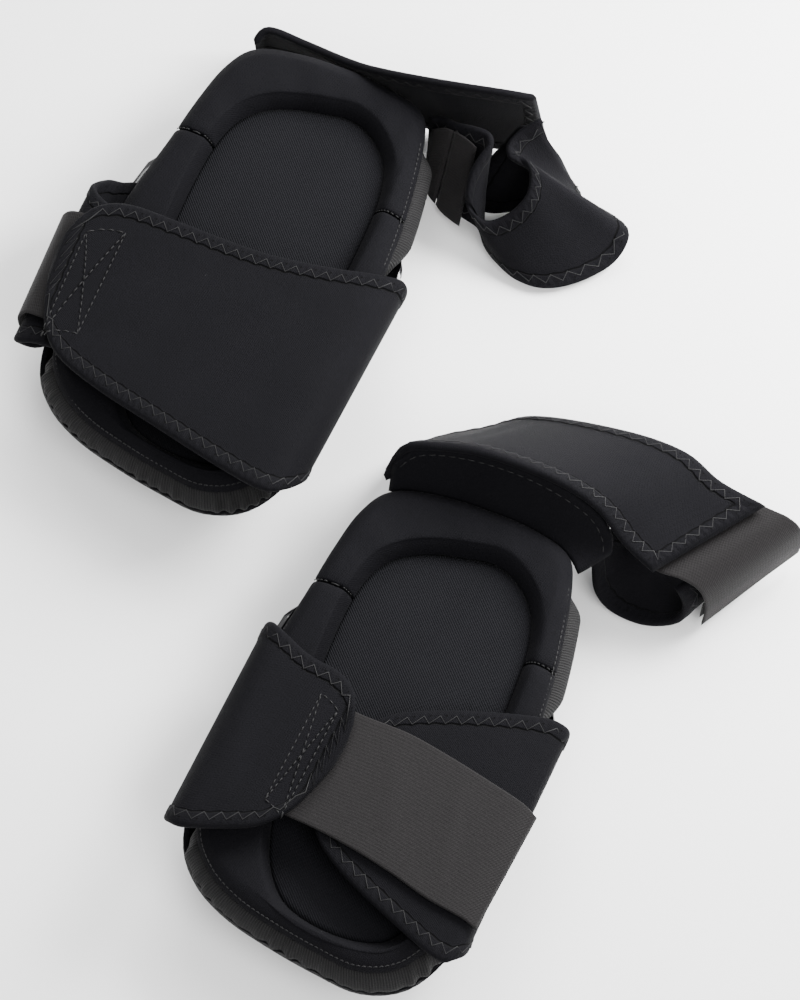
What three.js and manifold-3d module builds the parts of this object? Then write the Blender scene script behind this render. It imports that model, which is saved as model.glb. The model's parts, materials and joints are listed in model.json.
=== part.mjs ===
// A pair of strap-on knee pads, lying cap down with their straps closed.
// Millimetres, +Z up. Each pad is drawn in its own frame: x across, y from shin to thigh,
// z up from the floor to the knee side, and is then turned and set down in the pair.

import * as THREE from 'three';
import { mergeVertices } from 'three/addons/utils/BufferGeometryUtils.js';
import Module from 'manifold-3d';

const wasm = await Module();
wasm.setup();

// ---- driving dimensions ----

const padHalfWidth = 86;
const padHalfLength = 148;
const padMiddleY = -9;
const outlineSteps = 40;
const neopreneThickness = 5;
const catchThickness = 4;
const curledThickness = 3;
const elasticThickness = 1.8;
const patchThickness = 1;
const seamY = 57;
const seamGap = 0.6;
const treadHeight = 3.2;
const ribbonSteps = 3;
const roundSides = 12;

// Outlines, from the thigh end clockwise. The shin end leans to one side.
const padPoints = [
  [0, 139], [32, 138], [56, 131], [66, 114], [75, 78], [81, 40], [85, -10], [85, -70], [80, -114],
  [67, -143], [44, -156], [16, -155], [-12, -151], [-38, -145], [-60, -134], [-76, -115],
  [-84, -82], [-86, -40], [-83, 5], [-78, 45], [-74, 82], [-69, 108], [-58, 127], [-34, 136],
];
const recessPoints = [
  [0, 106], [18, 109], [34, 103], [48, 89], [55, 70], [58, 42], [59, 0], [59, -60], [60, -108],
  [51, -129], [34, -137], [10, -138], [-12, -132], [-27, -117], [-37, -94], [-45, -58],
  [-49, -10], [-51, 30], [-50, 58], [-45, 78], [-34, 92], [-18, 101],
];
const capPoints = [
  [0, 78], [36, 73], [66, 54], [92, 20], [100, -60], [98, -120], [76, -160], [36, -172], [0, -174],
  [-36, -172], [-76, -160], [-98, -120], [-100, -60], [-92, 20], [-66, 54], [-36, 73],
];

// Wall profiles of the nested shells, as [inset from the pad's outline, height].
const capProfile = [
  [60, 3], [44, 3.2], [30, 7], [16, 15], [3, 24], [-7, 34],
  [-4, 34], [5.5, 25], [18, 16.8], [31.5, 9.6], [44.5, 6.2], [60, 6.2],
];
const coverProfile = [
  [60, 6.8], [44, 7], [32, 10.4], [19.5, 17.4], [8.5, 26], [4, 34], [3.5, 46],
  [6.5, 46], [7, 34], [12, 27.5], [22, 20], [33, 13.4], [44, 10], [60, 10],
];
const foamProfile = [[60, 10.6], [45, 10.6], [34, 14], [23, 21], [15, 26.4]];
const bindingSection = [[3, 35], [-6, 35], [-6.5, 38], [-1, 46], [3, 46.3]];
const bolsterOuterSection = [[13, 27], [7.8, 34.5], [7.6, 46.6], [1, 47], [3, 53], [12, 57]];
const bolsterInnerSection = [[9, 57], [1.5, 50], [0.8, 27]];
const panelInset = 0.4;
const panelBottom = 38;
const panelTop = 42;

const rivets = [[28, 44], [-28, 44], [24, -84], [-24, -84]];
const rivetHoleRadius = 2.8;
const rivetPocketRadius = 5.8;
const rivetPocketTop = 12.4;
const rivetProfile = [
  [0, 0.8], [5, 0.9], [6, 1.6], [6, 2.7], [2.4, 2.7], [2.4, 10.4], [5, 10.4], [5, 11.6], [0, 11.6],
];
const treadRows = [20, -8, -36, -64];
const treadHalfLength = 30;
const treadHalfWidth = 8;

// ---- materials ----

const finish = (color, roughness, metalness = 0) => ({ color, roughness, metalness });
const finishes = {
  neoprene: finish(0x1c1c20, 0.85),
  knit: finish(0x17171a, 0.9),
  elastic: finish(0x35322f, 0.8),
  binding: finish(0x121214, 0.9),
  foam: finish(0x2a2a2c, 0.95),
  hook: finish(0x0c0c0d, 0.95),
  cap: finish(0x101012, 0.2),
  metal: finish(0x8d8f92, 0.35, 1),
};

// ---- helpers ----

function addPiece(parent, name, geometry, finishName) {
  const mesh = new THREE.Mesh(geometry, new THREE.MeshStandardMaterial(finishes[finishName]));
  mesh.name = name;
  parent.add(mesh);
  return mesh;
}

// A closed body through rings of equal point count. It is a ring-shaped body when closed is true,
// and otherwise each end is shut by a fan about its middle.
function loft(rings, closed = false) {
  const count = rings[0].length;
  const points = rings.flat();
  const faces = [];
  const spans = closed ? rings.length : rings.length - 1;
  for (let i = 0; i < spans; i += 1) {
    const next = (i + 1) % rings.length;
    for (let j = 0; j < count; j += 1) {
      const a = i * count + j;
      const b = i * count + ((j + 1) % count);
      const c = next * count + ((j + 1) % count);
      const d = next * count + j;
      faces.push(a, b, c, a, c, d);
    }
  }
  if (!closed) {
    for (const end of [0, rings.length - 1]) {
      const middle = new THREE.Vector3();
      rings[end].forEach((point) => middle.addScaledVector(point, 1 / count));
      points.push(middle);
      for (let j = 0; j < count; j += 1) {
        const a = end * count + j;
        const b = end * count + ((j + 1) % count);
        faces.push(...(end === 0 ? [b, a, points.length - 1] : [a, b, points.length - 1]));
      }
    }
  }
  return outward(points, faces);
}

// The faces are turned round if they enclose a negative volume.
function outward(points, faces) {
  let volume = 0;
  for (let i = 0; i < faces.length; i += 3) {
    const [a, b, c] = [points[faces[i]], points[faces[i + 1]], points[faces[i + 2]]];
    volume += a.dot(new THREE.Vector3().crossVectors(b, c));
  }
  const order = volume < 0 ? [...faces].reverse() : faces;
  const geometry = new THREE.BufferGeometry().setFromPoints(points);
  geometry.setIndex(order);
  geometry.computeVertexNormals();
  return geometry;
}

function solid(geometry) {
  const bare = geometry.clone();
  bare.deleteAttribute('normal');
  bare.deleteAttribute('uv');
  const merged = mergeVertices(bare, 1e-4);
  const vertProperties = new Float32Array(merged.attributes.position.array);
  const triVerts = new Uint32Array(merged.index.array);
  return new wasm.Manifold(new wasm.Mesh({ numProp: 3, vertProperties, triVerts }));
}

function geometryOf(body) {
  const mesh = body.getMesh();
  const geometry = new THREE.BufferGeometry();
  geometry.setAttribute('position', new THREE.BufferAttribute(mesh.vertProperties.slice(), 3));
  geometry.setIndex(new THREE.BufferAttribute(mesh.triVerts.slice(), 1));
  geometry.computeVertexNormals();
  return geometry;
}

function closedOutline(corners) {
  const points = corners.map(([x, y]) => new THREE.Vector3(x, y, 0));
  const curve = new THREE.CatmullRomCurve3(points, true, 'centripetal');
  return curve.getSpacedPoints(outlineSteps).slice(0, outlineSteps);
}

// The outline drawn in by an inset on every side, at a height.
function ringAt(outline, inset, height) {
  const acrossScale = (padHalfWidth - inset) / padHalfWidth;
  const alongScale = (padHalfLength - inset) / padHalfLength;
  return outline.map((point) => new THREE.Vector3(
    point.x * acrossScale,
    padMiddleY + (point.y - padMiddleY) * alongScale,
    height,
  ));
}

const padOutline = closedOutline(padPoints);
const recessOutline = closedOutline(recessPoints);
const capOutline = closedOutline(capPoints);

const shellOf = (profile) => loft(profile.map(([inset, z]) => ringAt(padOutline, inset, z)));

function prism(outline, bottom, top) {
  return loft([
    outline.map((point) => new THREE.Vector3(point.x, point.y, bottom)),
    outline.map((point) => new THREE.Vector3(point.x, point.y, top)),
  ]);
}

function slab(lowX, highX, lowY, highY) {
  const box = new THREE.BoxGeometry(highX - lowX, highY - lowY, 200);
  return solid(box.translate((lowX + highX) / 2, (lowY + highY) / 2, 0));
}

function post(x, y, radius, bottom, top) {
  const cylinder = new THREE.CylinderGeometry(radius, radius, top - bottom, roundSides);
  return solid(cylinder.rotateX(Math.PI / 2).translate(x, y, (bottom + top) / 2));
}

// A flat strap: each station is [one edge point, the other edge point], and smooth curves run
// through the edge points.
function strap(stations, thickness) {
  const [nearEdge, farEdge] = [0, 1].map((side) => new THREE.CatmullRomCurve3(
    stations.map((station) => new THREE.Vector3(...station[side])),
    false,
    'centripetal',
  ));
  const steps = (stations.length - 1) * ribbonSteps;
  const rings = [];
  for (let i = 0; i <= steps; i += 1) {
    const at = i / steps;
    const near = nearEdge.getPoint(at);
    const far = farEdge.getPoint(at);
    const along = nearEdge.getTangent(at).add(farEdge.getTangent(at)).normalize();
    const across = far.clone().sub(near).normalize();
    const normal = new THREE.Vector3().crossVectors(across, along).normalize();
    const offset = normal.multiplyScalar(thickness / 2);
    rings.push([
      near.clone().add(offset),
      far.clone().add(offset),
      far.clone().sub(offset),
      near.clone().sub(offset),
    ]);
  }
  return loft(rings);
}

// ---- pad body ----

function capShell() {
  let body = solid(shellOf(capProfile)).intersect(solid(prism(capOutline, -5, 60)));
  const bar = new THREE.Shape();
  const straight = treadHalfLength - treadHalfWidth;
  bar.absarc(straight, 0, treadHalfWidth, -Math.PI / 2, Math.PI / 2);
  bar.absarc(-straight, 0, treadHalfWidth, Math.PI / 2, Math.PI * 1.5);
  for (const y of treadRows) {
    const options = { depth: treadHeight, bevelEnabled: false, curveSegments: 4 };
    const tread = new THREE.ExtrudeGeometry(bar, options).translate(0, y, 0);
    body = body.add(solid(tread));
  }
  for (const [x, y] of rivets) {
    body = body.subtract(post(x, y, rivetHoleRadius, 0, 8));
  }
  return geometryOf(body);
}

function outerCover() {
  let body = solid(shellOf(coverProfile));
  for (const [x, y] of rivets) {
    body = body.subtract(post(x, y, rivetHoleRadius, 4, 11));
  }
  return geometryOf(body);
}

function foamCore() {
  const below = foamProfile.map(([inset, z]) => ringAt(padOutline, inset, z));
  const foamTop = panelBottom - 0.5;
  const edge = foamProfile.at(-1)[1];
  const plateau = [[panelInset, edge], [panelInset, foamTop], [40, foamTop]];
  const above = plateau.map(([inset, z]) => ringAt(recessOutline, inset, z));
  let body = solid(loft([...below, ...above]));
  for (const [x, y] of rivets) {
    body = body.subtract(post(x, y, rivetPocketRadius, 5, rivetPocketTop));
  }
  return geometryOf(body);
}

function bolsterRing() {
  const outer = bolsterOuterSection.map(([inset, z]) => ringAt(padOutline, inset, z));
  const inner = bolsterInnerSection.map(([outset, z]) => ringAt(recessOutline, -outset, z));
  return solid(loft([...outer, ...inner], true));
}

function bindingRing() {
  return solid(loft(bindingSection.map(([inset, z]) => ringAt(padOutline, inset, z)), true));
}

function rivet(x, y) {
  const profile = rivetProfile.map(([radius, z]) => new THREE.Vector2(radius, z));
  return new THREE.LatheGeometry(profile, roundSides).rotateX(Math.PI / 2).translate(x, y, 0);
}

function padBody(pad, side) {
  addPiece(pad, `${side}_cap_shell`, capShell(), 'cap');
  addPiece(pad, `${side}_outer_cover`, outerCover(), 'neoprene');
  addPiece(pad, `${side}_foam_core`, foamCore(), 'foam');
  const panelOutline = ringAt(recessOutline, panelInset, 0);
  addPiece(pad, `${side}_centre_panel`, prism(panelOutline, panelBottom, panelTop), 'knit');
  const bolster = bolsterRing();
  const upper = bolster.intersect(slab(-100, 100, seamY + seamGap / 2, 200));
  const lower = bolster.intersect(slab(-100, 100, -200, seamY - seamGap / 2));
  addPiece(pad, `${side}_upper_bolster`, geometryOf(upper), 'neoprene');
  addPiece(pad, `${side}_lower_bolster`, geometryOf(lower), 'neoprene');
  const binding = bindingRing();
  const strips = {
    outer_side_binding: slab(0, 110, 34, 116),
    inner_side_binding: slab(-110, 0, 34, 116),
    bottom_binding: slab(-110, 110, -200, -120),
  };
  for (const [name, room] of Object.entries(strips)) {
    addPiece(pad, `${side}_${name}`, geometryOf(binding.intersect(room)), 'binding');
  }
  rivets.forEach(([x, y], i) => addPiece(pad, `${side}_cap_rivet_${i + 1}`, rivet(x, y), 'metal'));
}

// ---- straps ----

const leftStraps = {
  lower_tongue: ['neoprene', neopreneThickness, [
    [[91, 12, 38], [89, -118, 38]], [[97, 14, 50], [95, -124, 50]], [[95, 15, 62], [91, -138, 62]],
    [[84, 10, 69], [82, -147, 69]], [[50, 0, 69], [48, -145, 69]], [[10, -7, 69], [8, -138, 69]],
    [[-40, -9, 69], [-36, -130, 69]], [[-75, -12, 69], [-66, -121, 69]],
    [[-92, -24, 69], [-84, -106, 69]], [[-99, -42, 69], [-93, -86, 69]],
  ]],
  lower_catch: ['neoprene', catchThickness, [
    [[-91, 14, 38], [-92, -110, 38]], [[-99, 8, 48], [-99, -114, 48]],
    [[-101, -3, 57], [-96, -117, 57]], [[-88, -12, 60.3], [-82, -114, 60.3]],
    [[-56, -15, 60.3], [-52, -112, 60.3]], [[-20, -18, 60.3], [-15, -106, 60.3]],
    [[14, -24, 60.3], [16, -94, 60.3]], [[26, -38, 60.3], [28, -78, 60.3]],
  ]],
  lower_band_root: ['elastic', elasticThickness, [
    [[-40, -22, 65], [-34, -98, 65]], [[-70, -24, 65], [-64, -99, 65]],
    [[-102, -26, 65], [-96, -100, 65]],
  ]],
  lower_band: ['elastic', elasticThickness, [
    [[-104, -26, 64.4], [-98, -100, 64.4]], [[-109, -27, 58], [-103, -100, 58]],
    [[-111, -28, 49], [-105, -101, 49]], [[-110, -28, 38], [-104, -101, 38]],
  ]],
  lower_hook_patch: ['hook', patchThickness, [
    [[-108.6, -33, 50], [-103.2, -96, 50]], [[-107.9, -33, 41], [-102.4, -96, 41]],
  ]],
  upper_tongue: ['neoprene', curledThickness, [
    [[68, 133, 50], [72, 114, 8]], [[80, 129, 58], [80, 102, 5]], [[92, 128, 64], [92, 98, 5]],
    [[102, 127, 66], [102, 96, 5]], [[106, 121, 65], [111, 94, 5]], [[103, 112, 61], [116, 90, 5]],
    [[101, 101, 53], [122, 84, 4]], [[104, 91, 41], [132, 78, 4]], [[117, 88, 31], [149, 72, 4]],
    [[129, 96, 35], [166, 74, 4]], [[136, 108, 45], [183, 87, 4]], [[133, 119, 53], [197, 107, 6]],
    [[125, 123, 58], [199, 124, 14]], [[118, 122, 58], [186, 131, 12]],
    [[114, 128, 59], [172, 133, 6]], [[118, 138, 63], [162, 137, 5]],
    [[127, 147, 69], [153, 142, 5]],
  ]],
  upper_band: ['elastic', elasticThickness, [
    [[82, 122.5, 55], [82, 96, 6]], [[88, 121, 57], [88, 93, 6]], [[97, 118, 57], [99, 90, 6]],
  ]],
  upper_catch: ['neoprene', catchThickness, [
    [[-56, 145, 48], [-60, 152, 8]], [[-30, 145, 48], [-30, 159, 5]],
    [[20, 140, 64], [22, 162, 5]], [[70, 141, 79], [75, 164, 5]],
    [[105, 148, 84], [112, 166, 5]], [[121, 154, 81], [130, 165, 6]],
  ]],
};

const rightStraps = {
  lower_tongue: ['neoprene', neopreneThickness, [
    [[-90, 17, 38], [-91, -110, 38]], [[-88, 18, 50], [-93, -115, 50]],
    [[-85, 18, 62], [-91, -119, 62]], [[-76, 13, 69], [-81, -121, 69]],
    [[-56, 5, 69], [-60, -113, 69]], [[-34, 2, 69], [-40, -103, 69]],
    [[-21, -9, 69], [-25, -86, 69]], [[-16, -30, 69], [-18, -62, 69]],
  ]],
  lower_catch: ['neoprene', catchThickness, [
    [[91, 22, 38], [89, -116, 38]], [[97, 25, 48], [94, -121, 48]],
    [[96, 26, 57.5], [92, -130, 57.5]], [[83, 25, 59.8], [83, -135, 59.8]],
    [[50, 15, 60.3], [50, -124, 60.3]], [[16, 1, 60.3], [12, -108, 60.3]],
    [[-4, -13, 60.3], [-10, -92, 60.3]], [[-10, -32, 60.3], [-15, -74, 60.3]],
  ]],
  lower_band_root: ['elastic', elasticThickness, [
    [[-46, -14, 65], [-48, -88, 65]], [[-30, -15, 65], [-31, -90, 65]],
    [[-13, -16, 65], [-13, -91, 65]],
  ]],
  lower_band: ['elastic', elasticThickness, [
    [[-11, -16, 65], [-11, -91, 65]], [[16, -16, 65], [14, -94, 65]],
    [[44, -20, 65], [40, -99, 65]], [[72, -26, 65], [66, -105, 65]],
    [[93, -30, 65], [87, -108, 65]], [[103, -34, 61], [97, -110, 61]],
  ]],
  lower_hook_patch: ['hook', patchThickness, [
    [[66, -29, 63.3], [60, -100, 63.3]], [[86, -34, 63.3], [80, -102, 63.3]],
  ]],
  upper_tongue: ['neoprene', neopreneThickness, [
    [[-60, 147, 64], [-66, 172, 8]], [[-58, 146, 76], [-50, 188, 8]],
    [[-40, 150, 82], [-24, 203, 12]], [[-10, 156, 84], [2, 217, 22]],
    [[33, 157, 82], [56, 221, 40]], [[62, 155, 70], [95, 219, 48]],
    [[84, 146, 56], [122, 208, 52]], [[106, 138, 52], [152, 203, 54]],
  ]],
  upper_band_root: ['elastic', elasticThickness, [
    [[86, 148, 47.6], [124, 207, 47.6]], [[107, 141, 47], [154, 205, 48]],
  ]],
  upper_band: ['elastic', elasticThickness, [
    [[109.5, 141, 47], [156.5, 204, 48]], [[123, 143, 46], [166, 205, 46]],
    [[135, 143, 38], [174, 205, 38]], [[140, 140, 24], [177, 204, 24]],
    [[140, 136, 7], [176, 202, 8]],
  ]],
  upper_hook_patch: ['hook', patchThickness, [
    [[137.6, 143, 24], [172.5, 200, 24]], [[137.6, 139, 11], [171.8, 198, 12]],
  ]],
  upper_catch: ['neoprene', catchThickness, [
    [[68, 140, 38], [68, 166, 34]], [[75, 128, 17], [88, 174, 16]],
    [[87, 124, 6], [110, 180, 7]], [[108, 124, 5], [133, 186, 5]],
    [[124, 130, 10], [151, 193, 10]], [[128, 136, 24], [159, 199, 24]],
    [[120, 140, 37], [152, 200, 38]],
  ]],
};

function addStraps(pad, side, straps) {
  for (const [name, [finishName, thickness, stations]] of Object.entries(straps)) {
    addPiece(pad, `${side}_${name}`, strap(stations, thickness), finishName);
  }
}

// A collar of neoprene sewn along the thigh end, which the upper wings grow out of.
const topBandStations = [
  [[-48, 141, 42], [-46, 146, 66]], [[-15, 143, 42], [-13, 150, 74]],
  [[20, 143.5, 42], [22, 151, 72]], [[50, 141.5, 42], [54, 147, 61]],
];

// ---- the pair ----

const layout = {
  left: { at: [-92, 144], turn: -25, straps: leftStraps },
  right: { at: [-3, -155], turn: -23, straps: rightStraps },
};

const kneePads = new THREE.Group();
for (const [side, { at, turn, straps }] of Object.entries(layout)) {
  const pad = new THREE.Group();
  pad.position.set(at[0], at[1], 0);
  pad.rotation.z = THREE.MathUtils.degToRad(turn);
  padBody(pad, side);
  addStraps(pad, side, straps);
  kneePads.add(pad);
}
const topBand = strap(topBandStations, neopreneThickness);
addPiece(kneePads.children[1], 'right_top_band', topBand, 'neoprene');

const extent = new THREE.Box3().setFromObject(kneePads, true);
const middle = extent.getCenter(new THREE.Vector3());
kneePads.position.set(-middle.x, -middle.y, -extent.min.z);

export default kneePads;
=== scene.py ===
import json
import math
import random

import bmesh
import bpy
from mathutils import Matrix, Vector


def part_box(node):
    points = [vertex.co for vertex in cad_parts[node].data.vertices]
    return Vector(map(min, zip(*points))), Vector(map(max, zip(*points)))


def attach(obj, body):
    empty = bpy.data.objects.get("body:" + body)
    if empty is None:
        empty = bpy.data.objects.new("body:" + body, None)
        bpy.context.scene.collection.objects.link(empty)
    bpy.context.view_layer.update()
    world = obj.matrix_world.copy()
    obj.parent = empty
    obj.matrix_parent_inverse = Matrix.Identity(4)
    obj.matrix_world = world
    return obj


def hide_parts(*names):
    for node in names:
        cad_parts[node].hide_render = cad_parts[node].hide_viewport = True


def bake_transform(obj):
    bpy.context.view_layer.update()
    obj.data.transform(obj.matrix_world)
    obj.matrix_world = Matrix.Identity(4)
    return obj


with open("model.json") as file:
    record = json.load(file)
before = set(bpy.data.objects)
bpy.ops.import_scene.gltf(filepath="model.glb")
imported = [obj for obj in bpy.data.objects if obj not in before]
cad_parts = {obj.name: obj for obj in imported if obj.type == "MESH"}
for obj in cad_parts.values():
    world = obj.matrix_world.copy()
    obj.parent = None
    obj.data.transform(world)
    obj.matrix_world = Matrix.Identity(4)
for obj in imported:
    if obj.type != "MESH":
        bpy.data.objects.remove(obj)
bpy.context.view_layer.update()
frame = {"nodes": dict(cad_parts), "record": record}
mm = 0.001
print("frame loaded")

sides = ("left", "right")


def padPlacement(side):
    # the four cap rivets give each pad's turn and middle
    rivets = [sum(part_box(f"{side}_cap_rivet_{i}"), Vector()) / 2 for i in (1, 2, 3, 4)]
    across = rivets[0] - rivets[1]
    turn = Matrix.Rotation(math.atan2(across.y, across.x), 4, "Z")
    middle = sum(rivets, Vector()) / 4
    centre = middle - turn @ Vector((0, -20 * mm, 0))
    return Matrix.Translation((centre.x, centre.y, 0)) @ turn


placed = {side: padPlacement(side) for side in sides}


# camera, floor and light
view = {
    "target": (-0.004, 0.008, 0.0),
    "elevation": 66,
    "distance": 3.0,
    "lens": 179,
    "sensorWidth": 36,
    "clipStart": 0.05,
}


def makeCamera():
    camera = bpy.data.objects.new("camera", bpy.data.cameras.new("camera"))
    bpy.context.scene.collection.objects.link(camera)
    lift = math.radians(view["elevation"])
    back = Vector((0, -math.cos(lift), math.sin(lift)))
    camera.location = Vector(view["target"]) + back * view["distance"]
    camera.rotation_euler = (-back).to_track_quat("-Z", "Y").to_euler()
    camera.data.lens = view["lens"]
    camera.data.sensor_width = view["sensorWidth"]
    camera.data.clip_start = view["clipStart"]
    bpy.context.scene.camera = camera


studio = {
    "floorColour": (0.92, 0.92, 0.92, 1),
    "floorRoughness": 0.9,
    "floorSize": 6,
    "worldStrength": 1.1,
    # name: (place, aim, size, watts)
    "lights": {
        "key": ((0.1, 1.7, 1.4), (0, 0, 0), 1.3, 70),
        "fill": ((0.7, -1.0, 1.3), (0.05, -0.15, 0), 0.9, 26),
        "rim": ((0.62, 0.36, 0.56), (0.1, 0, 0.05), 0.45, 30),
    },
}


def makeStudio():
    bm = bmesh.new()
    bmesh.ops.create_grid(bm, x_segments=2, y_segments=2, size=studio["floorSize"])
    mesh = bpy.data.meshes.new("floor")
    bm.to_mesh(mesh)
    bm.free()
    floor = bpy.data.objects.new("floor", mesh)
    bpy.context.scene.collection.objects.link(floor)
    paint = bpy.data.materials.new("floorPaint")
    paint.use_nodes = True
    shader = paint.node_tree.nodes["Principled BSDF"]
    shader.inputs["Base Color"].default_value = studio["floorColour"]
    shader.inputs["Roughness"].default_value = studio["floorRoughness"]
    mesh.materials.append(paint)
    world = bpy.data.worlds.new("studio")
    world.use_nodes = True
    background = world.node_tree.nodes["Background"]
    background.inputs["Color"].default_value = (1, 1, 1, 1)
    background.inputs["Strength"].default_value = studio["worldStrength"]
    bpy.context.scene.world = world
    for name, (place, aim, size, watts) in studio["lights"].items():
        lamp = bpy.data.lights.new(name, "AREA")
        lamp.size = size
        lamp.energy = watts
        holder = bpy.data.objects.new(name, lamp)
        holder.location = place
        holder.rotation_euler = (Vector(aim) - Vector(place)).to_track_quat("-Z", "Y").to_euler()
        bpy.context.scene.collection.objects.link(holder)


makeCamera()
makeStudio()
print("camera, floor and lights made")


class Value:
    # a shader output that can be used in sums
    def __init__(self, finish, out):
        self.finish = finish
        self.out = out

    def math(self, operation, *others):
        return self.finish.node("ShaderNodeMath", {"operation": operation}, [self, *others])

    def __add__(self, other):
        return self.math("ADD", other)

    def __mul__(self, other):
        return self.math("MULTIPLY", other)

    def __sub__(self, other):
        return self.math("SUBTRACT", other)

    def __rsub__(self, other):
        return self * -1 + other

    def __truediv__(self, other):
        return self.math("DIVIDE", other)

    def __abs__(self):
        return self.math("ABSOLUTE")

    __radd__ = __add__
    __rmul__ = __mul__

    def sine(self):
        return self.math("SINE")

    def above(self, edge):
        return self.math("GREATER_THAN", edge)

    def below(self, edge):
        return self.math("LESS_THAN", edge)

    def ridges(self, pitch):
        # a triangle wave from 0 to 1 with this pitch
        return abs((self / pitch).math("FRACT") * 2 - 1)

    def spread(self, low, high):
        # 0 below low, 1 above high
        return ((self - low) / (high - low)).math("MINIMUM", 1).math("MAXIMUM", 0)


class Finish:
    def __init__(self, name, **constants):
        self.material = bpy.data.materials.new(name)
        self.material.use_nodes = True
        self.tree = self.material.node_tree
        self.shader = self.tree.nodes["Principled BSDF"]
        for socket, value in constants.items():
            self.shader.inputs[socket.replace("_", " ")].default_value = value

    def plug(self, value, socket):
        if isinstance(value, Value):
            self.tree.links.new(value.out, socket)
        else:
            socket.default_value = value

    def node(self, kind, settings=None, inputs=(), output=0):
        made = self.tree.nodes.new(kind)
        for key, value in (settings or {}).items():
            setattr(made, key, value)
        pairs = inputs.items() if isinstance(inputs, dict) else enumerate(inputs)
        for key, value in pairs:
            self.plug(value, made.inputs[key])
        return Value(self, made.outputs[output])

    def map(self, name):
        # the two numbers of a piece's own map, in metres
        whole = self.node("ShaderNodeUVMap", {"uv_map": name})
        split = {"Vector": whole}
        return [self.node("ShaderNodeSeparateXYZ", None, split, i) for i in (0, 1)]

    def place(self):
        return self.node("ShaderNodeTexCoord", None, (), "Object")

    def noise(self, scale, detail=2.0, roughness=0.5):
        inputs = {"Vector": self.place(), "Scale": scale, "Detail": detail, "Roughness": roughness}
        return self.node("ShaderNodeTexNoise", None, inputs)

    def mix(self, share, first, second):
        settings = {"data_type": "RGBA"}
        return self.node("ShaderNodeMix", settings, {0: share, 6: first, 7: second}, 2)

    def feed(self, **values):
        for socket, value in values.items():
            self.plug(value, self.shader.inputs[socket.replace("_", " ")])

    def bump(self, height, strength, distance):
        inputs = {"Height": height, "Strength": strength, "Distance": distance}
        self.feed(Normal=self.node("ShaderNodeBump", None, inputs))


def lint(finish, spacing, share, radius):
    # sparse pale specks: one in a few cells holds one
    settings = {"feature": "F1", "distance": "EUCLIDEAN"}
    inputs = {"Vector": finish.place(), "Scale": 1 / spacing}
    near = finish.node("ShaderNodeTexVoronoi", settings, inputs, "Distance")
    cell = finish.node("ShaderNodeTexVoronoi", settings, inputs, "Color")
    pick = finish.node("ShaderNodeSeparateColor", None, [cell])
    return near.below(radius / spacing) * pick.above(1 - share)


neopreneLook = {
    "dark": (0.0016, 0.0016, 0.0022, 1),
    "light": (0.0056, 0.0054, 0.0067, 1),
    "lint": (0.1, 0.1, 0.105, 1),
    "stitchPitch": 0.009,
    "holeIn": 0.0047,
    "holeRadius": 0.0006,
    "hemIn": 0.0103,
    "scallop": 0.0007,
    "groove": (0.0009, 0.0002),
    "puckerRise": (0.0011, 0.004),
    "puckerFall": (0.0100, 0.006),
    # the near-black of the painted shade in the hem groove and the needle holes
    "grooveAndHoleShade": (0.001, 0.001, 0.001, 1),
}


def neopreneFinish():
    finish = Finish("neoprene", Specular_IOR_Level=0.045, Sheen_Weight=0.012, Sheen_Roughness=0.35)
    along, across = finish.map("cloth")
    knit = (along * 5200).sine() * (across * 5200).sine()
    mottle = finish.noise(30, 4)
    grain = (finish.noise(1300, 2, 0.6) - 0.5) * 2.6 + 0.5
    hemAlong, hemIn = finish.map("hem")
    look = neopreneLook
    # the turned edge ends in a scalloped groove, and the needle leaves a hole at each stitch
    step = hemAlong / look["stitchPitch"]
    fromStitch = (step.math("FRACT") - 0.5) * look["stitchPitch"]
    fromHole = hemIn - look["holeIn"]
    hole = (fromStitch * fromStitch + fromHole * fromHole).below(look["holeRadius"] ** 2)
    scallop = hemAlong.ridges(look["stitchPitch"]) * look["scallop"]
    groove = abs(hemIn - look["hemIn"] + scallop).spread(*look["groove"])
    puckers = hemAlong.ridges(look["stitchPitch"] / 2) * hemIn.spread(*look["puckerRise"])
    puckers = puckers * hemIn.spread(*look["puckerFall"])
    colour = finish.mix(0.65 * grain + 0.35 * mottle, look["dark"], look["light"])
    # painted shade: the hem groove and the needle holes are darkened towards near-black in the colour
    colour = finish.mix(groove.math("MAXIMUM", hole) * 0.85, colour, look["grooveAndHoleShade"])
    colour = finish.mix(lint(finish, 0.012, 0.1, 0.00022), colour, look["lint"])
    finish.feed(Base_Color=colour, Roughness=0.66 + 0.18 * grain)
    height = 0.25 * knit + 0.5 * grain + 0.7 * mottle + 1.1 * puckers - 2.2 * groove - 2.5 * hole
    finish.bump(height, 0.6, 0.0006)
    return finish.material


def knitFinish():
    finish = Finish("knit", Specular_IOR_Level=0.06, Sheen_Weight=0.006, Sheen_Roughness=0.5)
    along, across = finish.map("cloth")
    rows = (along + across).ridges(0.0019)
    cross = (along - across).ridges(0.0034)
    mottle = finish.noise(40, 4)
    dark, light = (0.0016, 0.0016, 0.0022, 1), (0.0072, 0.0072, 0.0088, 1)
    grain = (finish.noise(1300, 2, 0.6) - 0.5) * 1.5 + 0.5
    colour = finish.mix(0.35 * rows + 0.25 * mottle + 0.4 * grain, dark, light)
    colour = finish.mix(lint(finish, 0.010, 0.12, 0.00022), colour, neopreneLook["lint"])
    finish.feed(Base_Color=colour, Roughness=0.72 + 0.15 * rows)
    finish.bump(rows + cross * 0.35 + mottle * 0.6, 0.6, 0.0005)
    return finish.material


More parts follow.
